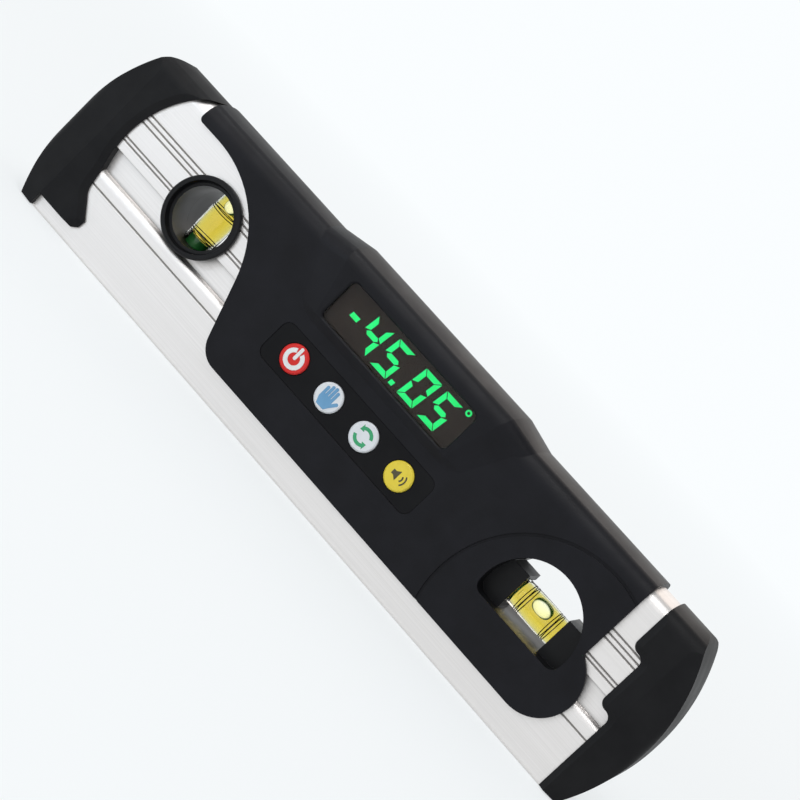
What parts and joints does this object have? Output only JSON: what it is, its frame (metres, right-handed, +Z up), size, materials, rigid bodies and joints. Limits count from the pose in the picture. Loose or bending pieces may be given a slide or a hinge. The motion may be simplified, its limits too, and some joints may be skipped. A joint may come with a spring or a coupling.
{
  "type": "digital spirit level",
  "caption": "Hand-held digital spirit level: hollow aluminium beam with grooved magnetic base, moulded covers with display and keys, level and plumb vials, rubber end caps, battery door.",
  "frame": {"origin": "middle of the base, on the plane of the two measuring strips", "axes": "+X along the level towards the level vial, -Y out of the display side, +Z up"},
  "size_m": [0.25, 0.0314, 0.0649],
  "materials": {
    "anodised_aluminium": "fine brushed anodised",
    "magnet_plate": "nickel plated",
    "cap_rubber": "matte moulded",
    "cover_plastic": "fine satin moulded",
    "screw_steel": "plain",
    "smoked_window": "smoked gloss",
    "seal_rubber": "matte",
    "display_dark": "dark filter",
    "backlight_white": "plain",
    "board_green": "lacquered",
    "chip_black": "plain",
    "keypad_rubber": "matte",
    "key_red": "satin",
    "key_white": "satin",
    "key_yellow": "satin",
    "vial_black": "satin",
    "vial_clear": "clear gloss",
    "plug_green": "translucent",
    "spirit_yellow": "tinted liquid",
    "bubble_clear": "air",
    "tray_black": "plain",
    "battery_jacket": "printed sleeve, plain"
  },
  "bodies": {
    "level": {"beam": "anodised_aluminium", "base_magnets": "magnet_plate", "left_end_cap": "cap_rubber", "right_end_cap": "cap_rubber", "front_cover": "cover_plastic", "rear_cover": "cover_plastic", "cover_screws": "screw_steel", "display_window": "smoked_window", "display_gasket": "seal_rubber", "display_panel": "display_dark", "display_backlight": "backlight_white", "circuit_board": "board_green", "board_screws": "screw_steel", "key_switches": "chip_black", "processor_chip": "chip_black", "tilt_sensor": "chip_black", "buzzer": "chip_black", "keypad": "keypad_rubber", "level_vial_holder": "vial_black", "level_vial": "vial_clear", "level_vial_plug": "plug_green", "level_spirit": "spirit_yellow", "plumb_ring_front": "vial_black", "plumb_ring_rear": "vial_black", "plumb_vial": "vial_clear", "plumb_vial_plug": "plug_green", "plumb_spirit": "spirit_yellow", "battery_tray": "tray_black", "upper_battery": "battery_jacket", "lower_battery": "battery_jacket", "battery_contacts": "screw_steel"},
    "power_key": {"power_button": "key_red"},
    "hold_key": {"hold_button": "key_white"},
    "unit_key": {"unit_button": "key_white"},
    "sound_key": {"sound_button": "key_yellow"},
    "door": {"battery_door": "cover_plastic", "battery_door_gasket": "seal_rubber", "battery_door_screws": "screw_steel"},
    "level_bubble": {"level_bubble": "bubble_clear"},
    "plumb_bubble": {"plumb_bubble": "bubble_clear"}
  },
  "joints": [
    {"name": "power_press", "type": "slide", "parent": "level", "child": "power_key", "axis": [0, 1, 0], "range_m": [0, 0.0005], "stiffness_N_per_m": 600},
    {"name": "hold_press", "type": "slide", "parent": "level", "child": "hold_key", "axis": [0, 1, 0], "range_m": [0, 0.0005], "stiffness_N_per_m": 600},
    {"name": "unit_press", "type": "slide", "parent": "level", "child": "unit_key", "axis": [0, 1, 0], "range_m": [0, 0.0005], "stiffness_N_per_m": 600},
    {"name": "sound_press", "type": "slide", "parent": "level", "child": "sound_key", "axis": [0, 1, 0], "range_m": [0, 0.0005], "stiffness_N_per_m": 600},
    {"name": "battery_door_lift", "type": "slide", "parent": "level", "child": "door", "axis": [0, 1, 0], "range_m": [0, 0.03]},
    {"name": "level_bubble_run", "type": "slide", "parent": "level", "child": "level_bubble", "axis": [1, 0, 0], "range_m": [-0.004, 0.004], "stiffness_N_per_m": 0.5},
    {"name": "plumb_bubble_run", "type": "slide", "parent": "level", "child": "plumb_bubble", "axis": [0, 0, 1], "range_m": [-0.0052, 0], "stiffness_N_per_m": 1, "springref_m": 0.006}
  ]
}
